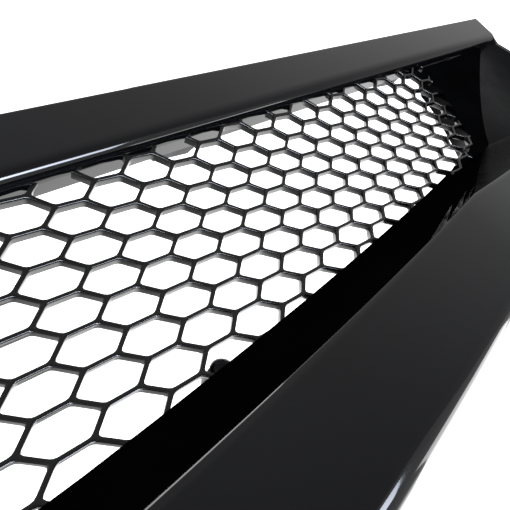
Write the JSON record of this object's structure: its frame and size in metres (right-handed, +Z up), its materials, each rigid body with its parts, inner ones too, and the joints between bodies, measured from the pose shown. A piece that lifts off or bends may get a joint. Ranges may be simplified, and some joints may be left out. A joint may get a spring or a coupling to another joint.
{
  "type": "front grille",
  "caption": "Wide gloss-black car grille with a V-shaped bar, scooped ends and chin, a recessed honeycomb sheet and rear rails, tabs and clips for fitting.",
  "frame": {"origin": "midway between the inner pair of upper tab holes, on the underside of the tabs", "axes": "+X to the viewer's right as one faces the front, +Y back into the car, +Z up"},
  "size_m": [0.9168, 0.0593, 0.1884],
  "materials": {
    "gloss_black_abs": "high gloss black lacquer",
    "mesh_black": "semi-gloss black coating",
    "black_plastic": "satin moulded plastic",
    "rail_plastic": "matt moulded plastic",
    "black_screw": "black oxide",
    "spring_steel": "phosphated spring steel",
    "zinc_steel": "zinc plated",
    "natural_nylon": "natural nylon",
    "black_foam": "closed-cell foam",
    "black_rubber": "matt rubber"
  },
  "bodies": {
    "root": {"surround": "gloss_black_abs", "mesh_panel": "mesh_black", "mesh_carrier": "black_plastic", "mesh_screws": "black_screw", "mesh_top_clips": "spring_steel", "bar_screw_towers": "black_plastic", "upper_rail_left": "rail_plastic", "upper_rail_right": "rail_plastic", "upper_rail_screws": "zinc_steel", "tab_sleeves": "zinc_steel", "end_screw_towers": "black_plastic", "end_bracket_left": "rail_plastic", "end_bracket_right": "rail_plastic", "end_bracket_screws": "zinc_steel", "locating_peg_left": "natural_nylon", "locating_peg_right": "natural_nylon", "chin_screw_towers": "black_plastic", "chin_rail_left": "rail_plastic", "chin_rail_right": "rail_plastic", "chin_rail_screws": "zinc_steel", "bumper_clips": "spring_steel", "chin_seal": "black_foam", "end_pads": "black_rubber"}
  },
  "joints": []
}
